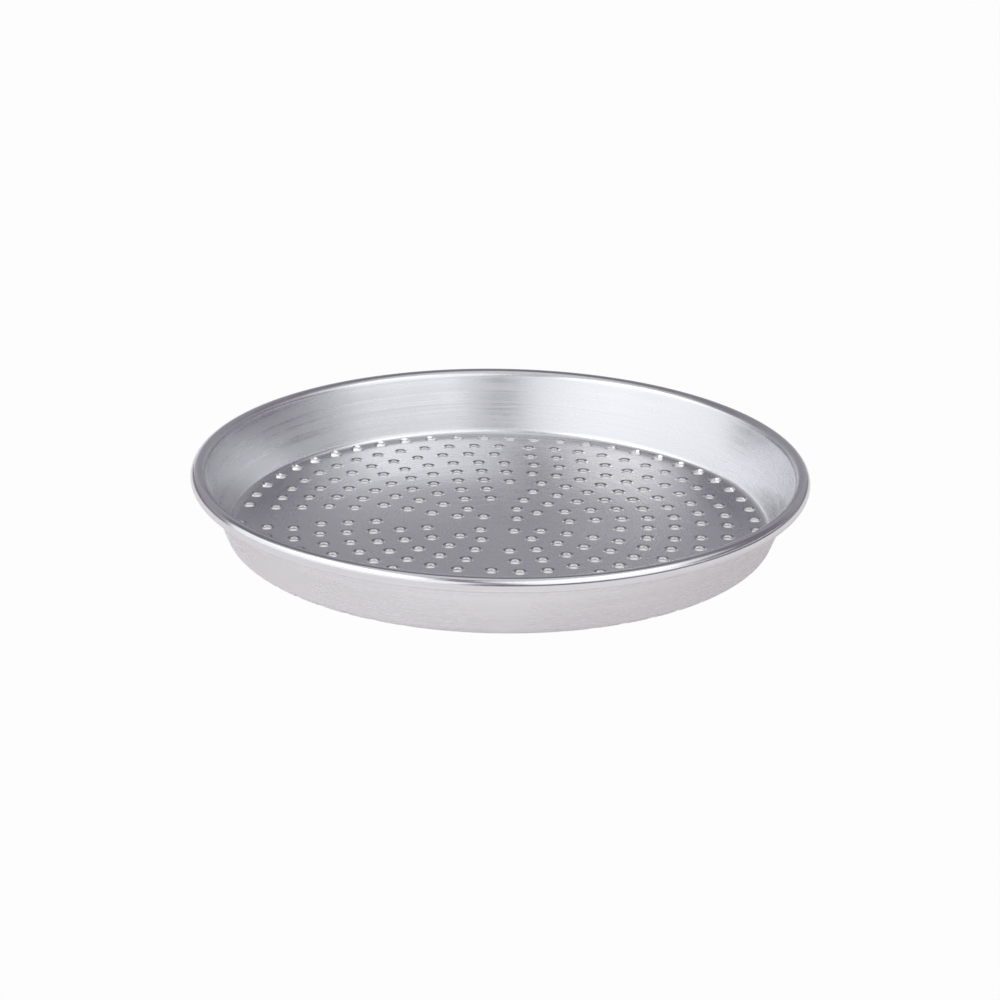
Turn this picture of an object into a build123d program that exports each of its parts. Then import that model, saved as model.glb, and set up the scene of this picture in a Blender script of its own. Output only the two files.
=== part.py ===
from build123d import *
from math import acos, atan2, cos, degrees, radians, sin, tan
import os

# Sizes of the pan, in millimetres and degrees

# Sheet
rim_diameter = 320.0
pan_height = 36.0
sheet_thickness = 1.2
corner_radius = 4.5
wall_flare_angle = 20.0

# Rolled rim and the wire inside it
wire_diameter = 5.0
wire_clearance = 0.2
wire_end_gap = 1.0
curl_gap = 0.3

# Steam holes, punched in the flat blank before it is formed, a quarter of the pan at a time.
# Each quarter has a hole near the middle of the pan and arcs of holes round that hole.
# The turns are a little uneven, as the strokes of the punch are, and the whole pattern lies
# a little off the pan's axis. Forming the corner draws the last arc outward.
hole_diameter = 4.4
hole_mouth_radius = 1.1
hole_mouth_depth = 0.95
hole_mouth_turn = 62.0
pattern_offset_x = -0.6
pattern_offset_y = -1.4
quarter_centre_offset = 9.0
last_arc_draw = 1.0
outer_hole_reach = 1.0
quarter_turns = (-0.7, 88.0, 182.3, 270.5)
arc_hole_counts = (2, 4, 5, 7, 9, 10, 11, 13, 14)
arc_first_angles = (45.0, -0.5, 5.0, -7.5, -3.0, -0.5, 4.0, 3.0, 0.5)
arc_last_angles = (96.0, 88.0, 83.5, 81.5, 88.5, 89.0, 91.0, 92.0, 91.0)
cut_overrun = 3.0

# Section through the sheet, in radius and height
wall_flare = radians(wall_flare_angle)
wire_seat_radius = wire_diameter / 2 + wire_clearance
bead_radius = wire_seat_radius + sheet_thickness
bead_centre = Vector(rim_diameter / 2 - bead_radius, 0, pan_height - bead_radius)
corner_outer_radius = corner_radius + sheet_thickness
wall_rise = bead_centre.Z - corner_outer_radius
wall_run = wall_rise * tan(wall_flare)
wall_offset = (corner_outer_radius + wire_seat_radius) / cos(wall_flare)
floor_radius = bead_centre.X - wall_run - wall_offset
corner_centre = Vector(floor_radius, 0, corner_outer_radius)


def toward(angle, length):
    """The step of that length in the section, at an angle up from straight outward."""
    return Vector(cos(radians(angle)), 0, sin(radians(angle))) * length


def section_arc(centre, radius, first_angle, last_angle):
    """An arc in the section that runs from one angle to the other."""
    middle_angle = (first_angle + last_angle) / 2
    return ThreePointArc(
        centre + toward(first_angle, radius),
        centre + toward(middle_angle, radius),
        centre + toward(last_angle, radius),
    )


def closed_face(edges):
    return Face(Wire(edges))


def formed_sheet():
    """The pan without its holes: floor, corner, flared wall and the edge curled round the wire."""
    below_wall = -wall_flare_angle
    seat_start = 180 - wall_flare_angle
    open_angle = degrees(acos((wire_seat_radius - curl_gap) / bead_radius))
    seat_end = seat_start - (360 - open_angle)
    underside_middle = Vector(0, 0, 0)
    floor_middle = Vector(0, 0, sheet_thickness)
    outer_corner = section_arc(corner_centre, corner_outer_radius, -90, below_wall)
    seat = section_arc(bead_centre, wire_seat_radius, seat_start, seat_end)
    bead = section_arc(bead_centre, bead_radius, seat_end, seat_start)
    inner_corner = section_arc(corner_centre, corner_radius, below_wall, -90)
    edges = [
        Line(underside_middle, outer_corner @ 0),
        outer_corner,
        Line(outer_corner @ 1, seat @ 0),
        seat,
        Line(seat @ 1, bead @ 0),
        bead,
        Line(bead @ 1, inner_corner @ 0),
        inner_corner,
        Line(inner_corner @ 1, floor_middle),
        Line(floor_middle, underside_middle),
    ]
    return revolve(closed_face(edges), Axis.Z)


def hole_punch():
    """What one punched hole takes away, about the middle of the sheet: straight, with a rounded mouth."""
    half_sheet = sheet_thickness / 2
    hole_radius = hole_diameter / 2
    low = -half_sheet - cut_overrun
    high = half_sheet + cut_overrun
    mouth_centre = Vector(hole_radius + hole_mouth_radius, 0, half_sheet - hole_mouth_depth)
    mouth = section_arc(mouth_centre, hole_mouth_radius, 180, 180 - hole_mouth_turn)
    outline = Polyline(
        mouth @ 1,
        ((mouth @ 1).X, 0, high),
        (0, 0, high),
        (0, 0, low),
        (hole_radius, 0, low),
        mouth @ 0,
    )
    return revolve(closed_face([mouth, *outline.edges()]), Axis.Z)


def quarter_hole_places():
    """Places of one quarter's holes on the flat blank."""
    centre = Vector(quarter_centre_offset, quarter_centre_offset, 0)
    last_radius = floor_radius + outer_hole_reach - centre.length
    arc_pitch = (last_radius - last_arc_draw) / len(arc_hole_counts)
    places = [centre]
    arcs = zip(arc_hole_counts, arc_first_angles, arc_last_angles)
    for step, (count, first_angle, last_angle) in enumerate(arcs, start=1):
        arc_radius = last_radius if step == len(arc_hole_counts) else arc_pitch * step
        for index in range(count):
            angle = radians(first_angle + (last_angle - first_angle) * index / (count - 1))
            places.append(centre + Vector(cos(angle), sin(angle), 0) * arc_radius)
    return places


def hole_places():
    """Places of all the holes on the flat blank."""
    offset = Vector(pattern_offset_x, pattern_offset_y, 0)
    places = []
    for turn in quarter_turns:
        for place in quarter_hole_places():
            places.append(place.rotate(Axis.Z, turn) + offset)
    return places


def on_formed_sheet(place):
    """Where a place on the flat blank comes to lie once the corner is bent up, with the sheet's slope."""
    middle_radius = corner_radius + sheet_thickness / 2
    bend = max(place.length - floor_radius, 0) / middle_radius
    radius = min(place.length, floor_radius) + middle_radius * sin(bend)
    height = corner_outer_radius - middle_radius * cos(bend)
    heading = degrees(atan2(place.Y, place.X))
    return Rot(Z=heading) * Pos(radius, 0, height) * Rot(Y=-degrees(bend))


def pan_shell():
    """The perforated sheet, one piece from the middle of the floor to the curled edge."""
    punch = hole_punch()
    punches = [on_formed_sheet(place) * punch for place in hole_places()]
    return formed_sheet() - punches


def rim_wire():
    """The round wire hoop inside the bead. Its two ends meet at the back with a small gap."""
    gap_angle = degrees(wire_end_gap / bead_centre.X)
    section = Plane(origin=bead_centre, z_dir=(0, -1, 0)) * Circle(wire_diameter / 2)
    hoop = revolve(section, Axis.Z, 360 - gap_angle)
    return Rot(Z=90 + gap_angle / 2) * hoop


os.makedirs("parts", exist_ok=True)
export_step(pan_shell(), "parts/pan_shell.step")
export_step(rim_wire(), "parts/rim_wire.step")
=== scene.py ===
from math import acos, cos, pi, radians, sin, tan

import bpy
import numpy as np
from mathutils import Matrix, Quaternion, Vector
from mathutils.geometry import delaunay_2d_cdt


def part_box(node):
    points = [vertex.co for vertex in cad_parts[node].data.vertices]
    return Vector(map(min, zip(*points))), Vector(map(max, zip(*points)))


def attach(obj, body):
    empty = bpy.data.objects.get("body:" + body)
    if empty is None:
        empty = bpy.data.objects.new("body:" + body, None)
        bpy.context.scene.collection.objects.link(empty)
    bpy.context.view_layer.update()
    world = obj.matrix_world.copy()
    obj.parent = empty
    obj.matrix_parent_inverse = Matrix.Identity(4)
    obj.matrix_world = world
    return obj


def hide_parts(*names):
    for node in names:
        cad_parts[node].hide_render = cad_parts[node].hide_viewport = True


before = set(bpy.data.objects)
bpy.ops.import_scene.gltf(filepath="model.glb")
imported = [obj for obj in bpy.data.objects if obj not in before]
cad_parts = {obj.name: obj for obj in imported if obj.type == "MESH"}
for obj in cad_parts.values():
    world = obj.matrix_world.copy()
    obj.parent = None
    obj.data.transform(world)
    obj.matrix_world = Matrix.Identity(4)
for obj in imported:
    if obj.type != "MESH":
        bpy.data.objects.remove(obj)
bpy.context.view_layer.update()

# Sizes of the pan, in metres and radians. The outer sizes come from the frame.
shell_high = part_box("pan_shell")[1]
rim_radius = min(shell_high.x, shell_high.y)
pan_height = shell_high.z

sheet_thickness = 0.0012
corner_radius = 0.0045
wall_flare = radians(20)
wire_seat_radius = 0.0027
curl_gap = 0.0003
edge_bulge = 0.00015

# The bead isn't quite round: its crest is tighter than its side, and lies outside of the wire
bead_crest_radius = 0.00285
bead_side_radius = 0.0042
side_start_heading = radians(-38.9)

# Steam holes, a quarter of the pan at a time, with their places on the flat blank. The punch
# draws the sheet down round each hole, in a wide mouth that ends in a short upright wall.
hole_radius = 0.00255
mouth_width = 0.0015
mouth_depth = 0.00085
mouth_fullness = 1.5
burr_radius = 0.0001
pattern_offset = (-0.0006, -0.0014)
quarter_centre_offset = 0.009
last_arc_draw = 0.001
outer_hole_reach = 0.001
quarter_turns = (-0.7, 88.0, 182.3, 270.5)
arc_hole_counts = (2, 4, 5, 7, 9, 10, 11, 13, 14)
arc_first_angles = (45.0, -0.5, 5.0, -7.5, -3.0, -0.5, 4.0, 3.0, 0.5)
arc_last_angles = (96.0, 88.0, 83.5, 81.5, 88.5, 89.0, 91.0, 92.0, 91.0)

# Fineness of the mesh
around_pan = 420
around_hole = 20
mouth_steps = 5
floor_spacing = 0.005
ring_step = 0.0011
wall_steps = 9
curl_steps = 28
merge_distance = 1e-7
least_distance = 1e-9

# Gentle waves that the floor keeps from the press, all upward of flat
wave_height = 0.00016
wave_length = 0.055
wave_length_spread = (0.8, 1.7)
wave_turn_spread = 0.8
wave_count = 7
wave_edge = 0.02
wave_seed = 11

# Sizes that follow
half_sheet = sheet_thickness / 2
corner_outer_radius = corner_radius + sheet_thickness
corner_middle_radius = corner_radius + half_sheet
mouth_reach = hole_radius + mouth_width
bead_radius = wire_seat_radius + sheet_thickness
wall_heading = pi / 2 - wall_flare
wall_rise = pan_height - bead_radius - corner_outer_radius
wall_offset = (corner_outer_radius + wire_seat_radius) / cos(wall_flare)
floor_radius = rim_radius - bead_radius - wall_rise * tan(wall_flare) - wall_offset


def arc_run(middle_radius, first_heading, last_heading):
    """How far an arc in the section carries outward and upward, between two headings."""
    bend = middle_radius if last_heading > first_heading else -middle_radius
    return np.array([
        bend * (sin(last_heading) - sin(first_heading)),
        bend * (cos(first_heading) - cos(last_heading)),
    ])


def section_runs():
    """The runs of the section, each with its length and its end heading, from the axis to the cut edge.

    The wall's length and the radius of the bend at its top are such that the bead just reaches
    the rim's radius and the pan's height.
    """
    crest = bead_crest_radius - half_sheet
    side = bead_side_radius - half_sheet
    start = np.array([floor_radius, half_sheet]) + arc_run(corner_middle_radius, 0, wall_heading)
    to_side = arc_run(crest, 0, side_start_heading) + arc_run(side, side_start_heading, -pi / 2)
    goal = [rim_radius - half_sheet - start[0] - to_side[0], pan_height - half_sheet - start[1]]
    wall = [cos(wall_heading), sin(wall_heading)]
    bend = arc_run(1, wall_heading, 0)
    wall_length, bend_radius = np.linalg.solve(np.array([wall, bend]).T, goal)
    open_angle = acos((wire_seat_radius - curl_gap) / bead_radius)
    runs = [
        (floor_radius, 0),
        (corner_middle_radius * wall_heading, wall_heading),
        (wall_length, wall_heading),
    ]
    radii = (bend_radius, crest, side, bead_radius - half_sheet)
    headings = (wall_heading, 0, side_start_heading, -pi / 2, wall_heading + open_angle - 2 * pi)
    for radius, first, last in zip(radii, headings, headings[1:]):
        runs.append((radius * (first - last), last))
    return runs


class Section:
    """The middle of the sheet in radius and height, by the distance along it from the axis."""

    def __init__(self, runs):
        self.starts, self.places, self.headings, self.bends = [], [], [], []
        distance, place, heading = 0, np.array([0, half_sheet]), 0
        for length, last_heading in runs:
            self.starts.append(distance)
            self.places.append(place)
            self.headings.append(heading)
            bend = (last_heading - heading) / length
            self.bends.append(bend)
            if bend:
                place = place + arc_run(1 / abs(bend), heading, last_heading)
            else:
                place = place + length * np.array([cos(heading), sin(heading)])
            distance, heading = distance + length, last_heading
        self.starts.append(distance)
        self.places = np.array(self.places)

    def __call__(self, distance):
        """Radius, height and heading at distances along the sheet."""
        run = np.clip(np.searchsorted(self.starts, distance, side="right") - 1, 0, len(self.bends) - 1)
        along = distance - np.array(self.starts)[run]
        first, bend = np.array(self.headings)[run], np.array(self.bends)[run]
        heading = first + bend * along
        straight = bend == 0
        bend = np.where(straight, 1, bend)
        outward = np.where(straight, along * np.cos(first), (np.sin(heading) - np.sin(first)) / bend)
        upward = np.where(straight, along * np.sin(first), (np.cos(first) - np.cos(heading)) / bend)
        return self.places[run, 0] + outward, self.places[run, 1] + upward, heading


# The curl follows the floor, the corner and the wall
section = Section(section_runs())
_, _, _, curl_start, *_, curl_end = section.starts


def floor_waves(x, y):
    """Height and slopes of the waves at places on the blank."""
    random = np.random.default_rng(wave_seed)
    height, slope_x, slope_y = np.ones_like(x), np.zeros_like(x), np.zeros_like(x)
    for index in range(wave_count):
        heading = pi * (index + random.uniform(0, wave_turn_spread)) / wave_count
        number = 2 * pi / (wave_length * random.uniform(*wave_length_spread))
        phase = random.uniform(0, 2 * pi)
        along = number * (x * cos(heading) + y * sin(heading)) + phase
        height += np.sin(along) / wave_count
        slope_x += np.cos(along) * number * cos(heading) / wave_count
        slope_y += np.cos(along) * number * sin(heading) / wave_count
    distance = np.maximum(np.hypot(x, y), least_distance)
    inward = np.clip((floor_radius - distance) / wave_edge, 0, 1)
    fade = inward * inward * (3 - 2 * inward)
    fade_slope = -6 * inward * (1 - inward) / wave_edge
    slope_x = wave_height * (slope_x * fade + height * fade_slope * x / distance)
    slope_y = wave_height * (slope_y * fade + height * fade_slope * y / distance)
    return wave_height * height * fade, slope_x, slope_y


class SheetMesh:
    """Faces and vertices with exact normals, laid out on the flat blank and then formed."""

    def __init__(self):
        self.places, self.normals, self.shares, self.faces, self.count = [], [], [], [], 0

    def add(self, x, y, depth, facing_x, facing_y, facing_up, mouth_share=0):
        """Vertices at places on the blank and depths off the sheet's middle, and the way they face there.

        The mouth share says how far into a hole's mouth they lie.
        """
        x, y, depth, facing_x, facing_y, facing_up = np.broadcast_arrays(
            x, y, depth, facing_x, facing_y, facing_up)
        distance = np.hypot(x, y)
        divisor = np.maximum(distance, least_distance)
        out_x, out_y = x / divisor, y / divisor
        radius, height, heading = section(distance)
        radius = radius - depth * np.sin(heading)
        height = height + depth * np.cos(heading)
        wave, slope_x, slope_y = floor_waves(x, y)
        self.places.append(np.stack([out_x * radius, out_y * radius, height + wave], -1).reshape(-1, 3))
        outward = facing_x * out_x + facing_y * out_y
        sideways = facing_y * out_x - facing_x * out_y
        level = outward * np.cos(heading) - facing_up * np.sin(heading)
        upward = outward * np.sin(heading) + facing_up * np.cos(heading)
        normal_x = level * out_x - sideways * out_y - slope_x * upward
        normal_y = level * out_y + sideways * out_x - slope_y * upward
        normal = np.stack([normal_x, normal_y, upward], -1).reshape(-1, 3)
        self.normals.append(normal / np.linalg.norm(normal, axis=1)[:, None])
        self.shares.append(np.full(x.size, mouth_share, dtype=np.float32))
        first = self.count
        self.count += x.size
        return np.arange(first, self.count).reshape(x.shape)

    def strip(self, loop, next_loop):
        """Quads between two closed loops of vertices, or between rows of such loops."""
        ahead, next_ahead = np.roll(loop, -1, axis=-1), np.roll(next_loop, -1, axis=-1)
        quads = np.stack([loop, ahead, next_ahead, next_loop], -1)
        self.faces.extend(quads.reshape(-1, 4).tolist())

    def build(self, name):
        mesh = bpy.data.meshes.new(name)
        mesh.from_pydata(np.concatenate(self.places), [], self.faces)
        mesh.shade_smooth()
        mesh.normals_split_custom_set_from_vertices(np.concatenate(self.normals))
        shares = mesh.attributes.new("mouth_share", "FLOAT", "POINT")
        shares.data.foreach_set("value", np.concatenate(self.shares))
        piece = bpy.data.objects.new(name, mesh)
        bpy.context.scene.collection.objects.link(piece)
        return piece


def hole_places():
    """Places of all the steam holes on the flat blank."""
    centre = Vector((quarter_centre_offset, quarter_centre_offset))
    last_radius = floor_radius + outer_hole_reach - centre.length
    arc_pitch = (last_radius - last_arc_draw) / len(arc_hole_counts)
    quarter = [(centre.x, centre.y)]
    arcs = zip(arc_hole_counts, arc_first_angles, arc_last_angles)
    for step, (count, first_angle, last_angle) in enumerate(arcs, start=1):
        arc_radius = last_radius if step == len(arc_hole_counts) else arc_pitch * step
        for angle in np.radians(np.linspace(first_angle, last_angle, count)):
            quarter.append((centre.x + arc_radius * cos(angle), centre.y + arc_radius * sin(angle)))
    quarter = np.array(quarter)
    places = []
    for turn in np.radians(quarter_turns):
        spin = np.array([[cos(turn), sin(turn)], [-sin(turn), cos(turn)]])
        places.append(quarter @ spin + pattern_offset)
    return np.concatenate(places)


def circle(count):
    angles = 2 * pi * np.arange(count) / count
    return np.cos(angles), np.sin(angles)


def gap_to_holes(x, y, holes):
    """How far places on the blank are from the middle of the nearest hole."""
    return np.hypot(x[:, None] - holes[:, 0], y[:, None] - holes[:, 1]).min(1)


def corner_rings(holes):
    """Radii of the rings of vertices at the corner, from the wall inward past the last arc's holes."""
    join = np.hypot(holes[:, 0], holes[:, 1]).max() + mouth_reach + ring_step / 2
    step_count = round((join - floor_radius) / ring_step) + 2
    return join - ring_step * np.arange(step_count)


def loose_places(holes, rings):
    """Places of the vertices between the holes, in rows over the floor and in rings at the corner."""
    row = floor_spacing * sin(pi / 3)
    row_count = int(floor_radius / row)
    x, y = [], []
    for index in range(-row_count, row_count + 1):
        row_x = np.arange(-floor_radius, floor_radius, floor_spacing) + (index % 2) * floor_spacing / 2
        x.append(row_x)
        y.append(np.full_like(row_x, index * row))
    x, y = np.concatenate(x), np.concatenate(y)
    inside = np.hypot(x, y) < rings[-1] - ring_step
    pan_x, pan_y = circle(around_pan)
    x = np.append(x[inside], np.outer(rings[1:], pan_x))
    y = np.append(y[inside], np.outer(rings[1:], pan_y))
    clear = gap_to_holes(x, y, holes) > mouth_reach + ring_step / 2
    return x[clear], y[clear]


def blank_triangles(x, y, holes):
    """Triangles over the blank but not over the holes.

    The places are those of every hole's mouth, then of the ring at the join, then the loose ones.
    """
    edges = []
    counts = [around_hole] * len(holes) + [around_pan]
    for index, count in enumerate(counts):
        start = index * around_hole
        edges.extend((start + step, start + (step + 1) % count) for step in range(count))
    points = [Vector(point) for point in zip(x.tolist(), y.tolist())]
    faces, sources = delaunay_2d_cdt(points, edges, [], 0, merge_distance, True)[2:4]
    order = [source[0] for source in sources]
    triangles = np.array([[order[corner] for corner in face] for face in faces])
    gap = gap_to_holes(x[triangles].mean(1), y[triangles].mean(1), holes)
    return triangles[gap > mouth_reach * cos(pi / around_hole)]


def add_holes(sheet, holes):
    """Every hole's mouth and wall. Gives the loops where they meet the sheet's top and underside."""
    ring_x, ring_y = circle(around_hole)
    hole_x, hole_y = holes[:, :1], holes[:, 1:]

    def add_loop(radius, depth, inward, upward, share):
        """One loop in every hole, that faces inward to the hole's axis and upward."""
        x, y = hole_x + ring_x * radius, hole_y + ring_y * radius
        return sheet.add(x, y, depth, -ring_x * inward, -ring_y * inward, upward, share)

    loops = []
    steepness = 2 - mouth_fullness
    for share in np.linspace(0, 1, mouth_steps + 1):
        turn = pi / 2 * share
        across, down = abs(sin(turn)), abs(cos(turn))
        facing = Vector((across ** steepness / mouth_width, down ** steepness / mouth_depth)).normalized()
        radius = mouth_reach - mouth_width * across ** mouth_fullness
        depth = half_sheet - mouth_depth * (1 - down ** mouth_fullness)
        loops.append(add_loop(radius, depth, facing.x, facing.y, share))
    loops.append(add_loop(hole_radius, burr_radius - half_sheet, 1, 0, 1))
    loops.append(add_loop(hole_radius + burr_radius, -half_sheet, 0, -1, 1))
    loops.append(add_loop(mouth_reach, -half_sheet, 0, -1, 0))
    for loop, next_loop in zip(loops, loops[1:]):
        sheet.strip(loop, next_loop)
    return {1: loops[0], -1: loops[-1]}


def add_wall(sheet, loops, join):
    """The wall and the curl on both faces of the sheet, ring by ring from the join, and the cut edge."""
    pan_x, pan_y = circle(around_pan)
    distances = np.concatenate([
        np.linspace(join, curl_start, wall_steps + 1)[1:],
        np.linspace(curl_start, curl_end, curl_steps + 1)[1:],
    ])
    for side in loops:
        for distance in distances:
            loop = sheet.add(pan_x * distance, pan_y * distance, side * half_sheet, 0, 0, side)
            sheet.strip(*(loops[side], loop)[::-side])
            loops[side] = loop
    edge_distance = curl_end + edge_bulge
    edge = sheet.add(pan_x * edge_distance, pan_y * edge_distance, 0, pan_x, pan_y, 0)
    sheet.strip(edge, loops[1])
    sheet.strip(loops[-1], edge)


def pan_shell():
    """The perforated sheet: floor, corner, flared wall and the edge curled round the wire."""
    sheet = SheetMesh()
    holes = hole_places()
    mouths = add_holes(sheet, holes)

    ring_x, ring_y = circle(around_hole)
    mouth_x, mouth_y = holes[:, :1] + ring_x * mouth_reach, holes[:, 1:] + ring_y * mouth_reach
    rings = corner_rings(holes)
    pan_x, pan_y = circle(around_pan)
    join_x, join_y = pan_x * rings[0], pan_y * rings[0]
    loose_x, loose_y = loose_places(holes, rings)
    x = np.concatenate([mouth_x.ravel(), join_x, loose_x])
    y = np.concatenate([mouth_y.ravel(), join_y, loose_y])
    triangles = blank_triangles(x, y, holes)

    joins = {}
    for side, mouth in mouths.items():
        loose = sheet.add(loose_x, loose_y, side * half_sheet, 0, 0, side)
        joins[side] = sheet.add(join_x, join_y, side * half_sheet, 0, 0, side)
        vertices = np.concatenate([mouth.ravel(), joins[side], loose])
        sheet.faces.extend(vertices[triangles][:, ::side].tolist())
    add_wall(sheet, joins, rings[0])
    return sheet.build("pan_shell_sheet")


def put(tree, kind, *inputs, **properties):
    """The first output of a new shader node.

    Its inputs take values or other nodes' outputs in order, and None leaves one as it is.
    """
    node = tree.nodes.new("ShaderNode" + kind)
    for name, value in properties.items():
        setattr(node, name, value)
    for socket, value in zip(node.inputs, inputs):
        if isinstance(value, bpy.types.NodeSocket):
            tree.links.new(value, socket)
        elif value is not None:
            socket.default_value = value
    return node.outputs[0]


def calculate(tree, operation, *inputs):
    return put(tree, "Math", *inputs, operation=operation)


def noise(tree, place, density, detail, roughness):
    return put(tree, "TexNoise", place, None, density, detail, roughness)


def blend(tree, value, low, high, to_low, to_high):
    """The value's range from low to high carried smoothly to another range."""
    return put(tree, "MapRange", value, low, high, to_low, to_high, interpolation_type="SMOOTHSTEP")


def tinted(tree, factor, colours):
    """A colour that runs through the given ones as the factor runs from 0 to 1."""
    ramp = tree.nodes.new("ShaderNodeValToRGB")
    elements = ramp.color_ramp.elements
    while len(elements) < len(colours):
        elements.new(len(elements) / len(colours))
    for index, (element, colour) in enumerate(zip(elements, colours)):
        element.position = index / (len(colours) - 1)
        element.color = (*colour, 1)
    tree.links.new(factor, ramp.inputs["Fac"])
    return ramp.outputs["Color"]


def metal(name):
    """A new metal material, with its nodes and its shader."""
    material = bpy.data.materials.new(name)
    material.use_nodes = True
    shader = material.node_tree.nodes["Principled BSDF"]
    shader.inputs["Metallic"].default_value = 1.0
    return material, material.node_tree, shader


def surface_place(tree):
    """Place on the object, its part at right angles to the pan's axis, and its radius and height."""
    place = tree.nodes.new("ShaderNodeTexCoord").outputs["Object"]
    level = put(tree, "VectorMath", place, (1, 1, 0), operation="MULTIPLY")
    radius = put(tree, "VectorMath", level, operation="LENGTH").node.outputs["Value"]
    height = put(tree, "SeparateXYZ", place).node.outputs["Z"]
    return place, level, radius, height


# Marks of the spun finish: lines round the pan, grain, smudges, one deeper ring on the wall, and wear
line_density = 480
line_length_share = 0.3
line_detail, line_roughness = 1, 0.5
stretched_density = 1
grain_density = 2600
grain_detail, grain_roughness = 2, 0.6
smudge_density = 26
smudge_detail, smudge_roughness = 3, 0.55
line_relief = 0.0000115
floor_line_relief = 0.000003
grain_relief_share = 0.05
ring_distance = 0.1655
ring_width = 0.0012
ring_relief_share = 1.2
ring_patch_density = 1.3
ring_patch_range = (0.35, 0.65)
wear_depth = 0.0016
wear_grain_range = (0.35, 0.7)
least_wear = 0.2
burnish_start = rim_radius - 0.0045
burnish_full = rim_radius - 0.0015
mouth_burnish_and_shade_start = 0.35

# Tone, from the darkest of the tints to the lightest, and roughness of the spun finish. The darkest tint
# is reached only in the mouths of the holes, where the darker tone is painted shade.
metal_and_mouth_shade_tints = ((0.60, 0.59, 0.60), (0.735, 0.735, 0.755), (0.76, 0.76, 0.78), (0.785, 0.785, 0.80))
tone_noise_range, tone_range = (0.6, 1.4), (0.35, 0.95)
worn_tone = 0.2
# Painted shade: how far the tone drops in the mouths of the holes
mouth_shade_tone = -0.35
dull_noise_range, dull_range = (0.7, 1.3), (0.24, 0.32)
curled_dull = -0.1
punched_dull = -0.13
spun_anisotropy = 0.65

# The drawn finish of the wire
steel_tints = ((0.44, 0.44, 0.45), (0.60, 0.60, 0.61))
steel_patch_density = 78
steel_detail, steel_roughness = 3, 0.6
steel_patch_range, steel_dull_range = (0.3, 0.7), (0.3, 0.45)


def spun_aluminium():
    """Aluminium sheet with the marks of the spinning lathe all round it."""
    material, tree, shader = metal("spun_aluminium_finish")
    shader.inputs["Anisotropic"].default_value = spun_anisotropy
    tangent = put(tree, "Tangent", direction_type="RADIAL", axis="Z")
    tree.links.new(tangent, shader.inputs["Tangent"])
    place, level, radius, height = surface_place(tree)
    around = put(tree, "VectorMath", level, operation="NORMALIZE")
    along = calculate(tree, "ADD", radius, height)

    # Lines: noise that is drawn out round the pan
    across = calculate(tree, "MULTIPLY", along, line_density)
    lift = put(tree, "CombineXYZ", 0, 0, across)
    drawn_out = (line_length_share,) * 3
    stretched = put(tree, "VectorMath", around, drawn_out, lift, operation="MULTIPLY_ADD")
    lines = noise(tree, stretched, stretched_density, line_detail, line_roughness)
    grain = noise(tree, place, grain_density, grain_detail, grain_roughness)
    smudges = noise(tree, place, smudge_density, smudge_detail, smudge_roughness)

    # One deeper ring on the wall, that comes and goes round the pan
    off_ring = calculate(tree, "ABSOLUTE", calculate(tree, "SUBTRACT", along, ring_distance))
    ring = blend(tree, off_ring, 0, ring_width, ring_relief_share, 0)
    patches = noise(tree, around, ring_patch_density, line_detail, line_roughness)
    ring = calculate(tree, "MULTIPLY", ring, blend(tree, patches, *ring_patch_range, 0, 1))
    relief = calculate(tree, "MULTIPLY_ADD", grain, grain_relief_share, lines)
    relief = calculate(tree, "ADD", relief, ring)
    depth = blend(tree, height, sheet_thickness, corner_outer_radius, floor_line_relief, line_relief)
    bump = put(tree, "Bump", 1, depth, None, relief)
    tree.links.new(bump, shader.inputs["Normal"])

    # Wear on the crest of the bead and under the floor
    crest = blend(tree, height, pan_height - wear_depth, pan_height, 0, 1)
    under = blend(tree, height, 0, half_sheet, 1, 0)
    worn = calculate(tree, "MAXIMUM", crest, under)
    worn = calculate(tree, "MULTIPLY", worn, blend(tree, grain, *wear_grain_range, least_wear, 1))

    # The bead is burnished by the curling roll, and the mouths of the holes by the punch. The mouths'
    # mask also darkens their tone, as painted shade in the hollows round the holes.
    curled = blend(tree, radius, burnish_start, burnish_full, 0, 1)
    share = put(tree, "Attribute", attribute_name="mouth_share").node.outputs["Fac"]
    mouth_burnish_and_shade = blend(tree, share, 0, mouth_burnish_and_shade_start, 0, 1)

    both = calculate(tree, "ADD", lines, smudges)
    tone = blend(tree, both, *tone_noise_range, *tone_range)
    tone = calculate(tree, "MULTIPLY_ADD", worn, worn_tone, tone)
    # Painted shade: the mouths of the holes are made darker
    tone = calculate(tree, "MULTIPLY_ADD", mouth_burnish_and_shade, mouth_shade_tone, tone)
    tree.links.new(tinted(tree, tone, metal_and_mouth_shade_tints), shader.inputs["Base Color"])
    dull = blend(tree, both, *dull_noise_range, *dull_range)
    dull = calculate(tree, "MULTIPLY_ADD", curled, curled_dull, dull)
    dull = calculate(tree, "MULTIPLY_ADD", mouth_burnish_and_shade, punched_dull, dull)
    tree.links.new(dull, shader.inputs["Roughness"])
    return material


def drawn_steel():
    """Steel wire with the lines of the drawing die along it and duller patches."""
    material, tree, shader = metal("drawn_steel_finish")
    place, _, radius, height = surface_place(tree)
    section_place = put(tree, "CombineXYZ", radius, height, 0)
    lines = noise(tree, section_place, grain_density, steel_detail, steel_roughness)
    patches = noise(tree, place, steel_patch_density, steel_detail, steel_roughness)
    tone = calculate(tree, "MULTIPLY", calculate(tree, "ADD", lines, patches), 0.5)
    tree.links.new(tinted(tree, tone, steel_tints), shader.inputs["Base Color"])
    dull = blend(tree, patches, *steel_patch_range, *steel_dull_range)
    tree.links.new(dull, shader.inputs["Roughness"])
    bump = put(tree, "Bump", 1, line_relief, None, lines)
    tree.links.new(bump, shader.inputs["Normal"])
    return material


# Camera, at the photograph's angle
camera_azimuth = radians(4.86)
camera_elevation = radians(21.5)
camera_distance = 1.2293
camera_lens = 84.3
camera_roll = radians(0.91)
aim_height = 0.0141
aim_sideways = -0.00002

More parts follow.
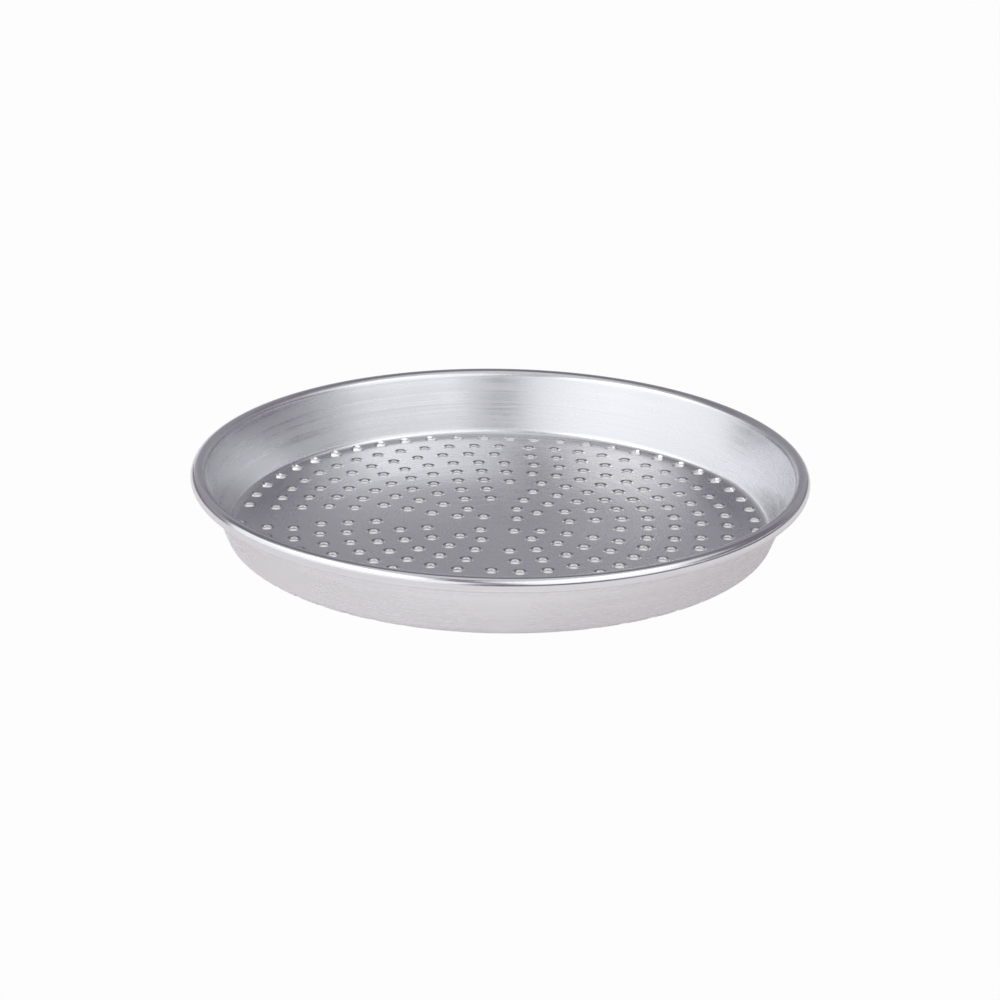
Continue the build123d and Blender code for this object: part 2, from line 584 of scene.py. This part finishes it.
# Softboxes, with their distance from the pan. Each has its azimuth from the camera's side towards the
# image's left, its elevation, its width and height as the pan sees them, its radiance and its colour.
light_distance = 5.0
softboxes = {
    "left_key": (59, 42, 43, 31, 1.3, (1, 0.98, 0.955)),
    "left_fill": (61, 23, 98, 44, 0.97, (0.955, 1, 1)),
    "right_key": (-40, 42, 57, 48, 1.13, (0.97, 1, 0.99)),
    "right_strip": (-82, 16, 75, 5, 0.66, (0.94, 1, 1)),
    "back": (173, 25, 111, 24, 0.18, (0.95, 1, 0.99)),
    "left_low": (162, 6, 18, 14, 0.6, (1, 1, 1)),
    "right_low": (-162, 6, 18, 14, 0.22, (1, 1, 1)),
    "overhead": (0, 88, 110, 40, 0.53, (0.96, 1, 0.99)),
}

# Background and floor. The camera sees them plain and pale, and the pan mirrors the duller ones.
background_seen = (0.97, 0.97, 0.97, 1)
surroundings = (0.195, 0.178, 0.212, 1)
floor_seen = (0.98, 0.98, 0.98, 1)
floor_matt = (0.85, 0.85, 0.85, 1)
floor_glow = (1, 0.875, 0.83, 1)
floor_glow_strength = 0.2
floor_half_width = 25

# The ground under the pan, seen through the steam holes, is shaded by what is this near to it
shade_distance = 0.004
shade_strength = 0.8
shade_radius = floor_radius + outer_hole_reach


def photo_camera():
    camera = bpy.data.objects.new("photo_camera", bpy.data.cameras.new("photo_camera"))
    camera.data.lens = camera_lens
    level = cos(camera_elevation)
    away = Vector((sin(camera_azimuth) * level, -cos(camera_azimuth) * level, sin(camera_elevation)))
    right = Vector((cos(camera_azimuth), sin(camera_azimuth), 0))
    camera.location = away * camera_distance
    aim = right * aim_sideways + Vector((0, 0, aim_height))
    facing = (camera.location - aim).to_track_quat("Z", "Y")
    camera.rotation_mode = "QUATERNION"
    camera.rotation_quaternion = facing @ Quaternion((0, 0, 1), camera_roll)
    bpy.context.scene.collection.objects.link(camera)
    bpy.context.scene.camera = camera


def softbox(name, azimuth, elevation, width, height, radiance, colour):
    """A soft light that faces the pan, with its angles in degrees."""
    data = bpy.data.lights.new(name, "AREA")
    data.shape = "RECTANGLE"
    data.size = 2 * light_distance * tan(radians(width / 2))
    data.size_y = 2 * light_distance * tan(radians(height / 2))
    data.energy = radiance * pi * data.size * data.size_y
    data.color = colour
    light = bpy.data.objects.new(name, data)
    turn = radians(azimuth) - camera_azimuth
    level = cos(radians(elevation))
    away = Vector((-sin(turn) * level, -cos(turn) * level, sin(radians(elevation))))
    light.location = away * light_distance
    light.rotation_mode = "QUATERNION"
    light.rotation_quaternion = away.to_track_quat("Z", "Y")
    light.visible_camera = False
    bpy.context.scene.collection.objects.link(light)


def studio():
    for name, values in softboxes.items():
        softbox(name, *values)
    world = bpy.data.worlds.new("studio")
    world.use_nodes = True
    tree = world.node_tree
    tree.nodes.clear()
    seen_by_camera = tree.nodes.new("ShaderNodeLightPath").outputs["Is Camera Ray"]
    around = put(tree, "Background", surroundings)
    seen = put(tree, "Background", background_seen)
    mixed = put(tree, "MixShader", seen_by_camera, around, seen)
    out = tree.nodes.new("ShaderNodeOutputWorld")
    tree.links.new(mixed, out.inputs["Surface"])
    bpy.context.scene.world = world


def pale_floor():
    half = floor_half_width
    corners = [(-half, -half, 0), (half, -half, 0), (half, half, 0), (-half, half, 0)]
    mesh = bpy.data.meshes.new("pale_floor")
    mesh.from_pydata(corners, [], [(0, 1, 2, 3)])
    floor = bpy.data.objects.new("pale_floor", mesh)
    bpy.context.scene.collection.objects.link(floor)
    material = bpy.data.materials.new("pale_floor")
    material.use_nodes = True
    tree = material.node_tree
    tree.nodes.clear()
    seen_by_camera = tree.nodes.new("ShaderNodeLightPath").outputs["Is Camera Ray"]
    place = tree.nodes.new("ShaderNodeTexCoord").outputs["Object"]
    radius = put(tree, "VectorMath", place, operation="LENGTH").node.outputs["Value"]
    beside = calculate(tree, "GREATER_THAN", radius, shade_radius)
    shade = put(tree, "AmbientOcclusion", None, shade_distance).node.outputs["AO"]
    shade = calculate(tree, "MULTIPLY", shade, shade_strength)
    seen = put(tree, "Emission", floor_seen, calculate(tree, "MAXIMUM", shade, beside))
    matt = put(tree, "BsdfDiffuse", floor_matt)
    glow = put(tree, "Emission", floor_glow, floor_glow_strength)
    lit = put(tree, "AddShader", matt, glow)
    mixed = put(tree, "MixShader", seen_by_camera, lit, seen)
    out = tree.nodes.new("ShaderNodeOutputMaterial")
    tree.links.new(mixed, out.inputs["Surface"])
    floor.data.materials.append(material)


photo_camera()
studio()
pale_floor()
bpy.context.scene.view_settings.view_transform = "Standard"

shell = pan_shell()
shell.data.materials.append(spun_aluminium())
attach(shell, "root")
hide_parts("pan_shell")

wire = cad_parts["rim_wire"]
wire.data.materials.clear()
wire.data.materials.append(drawn_steel())
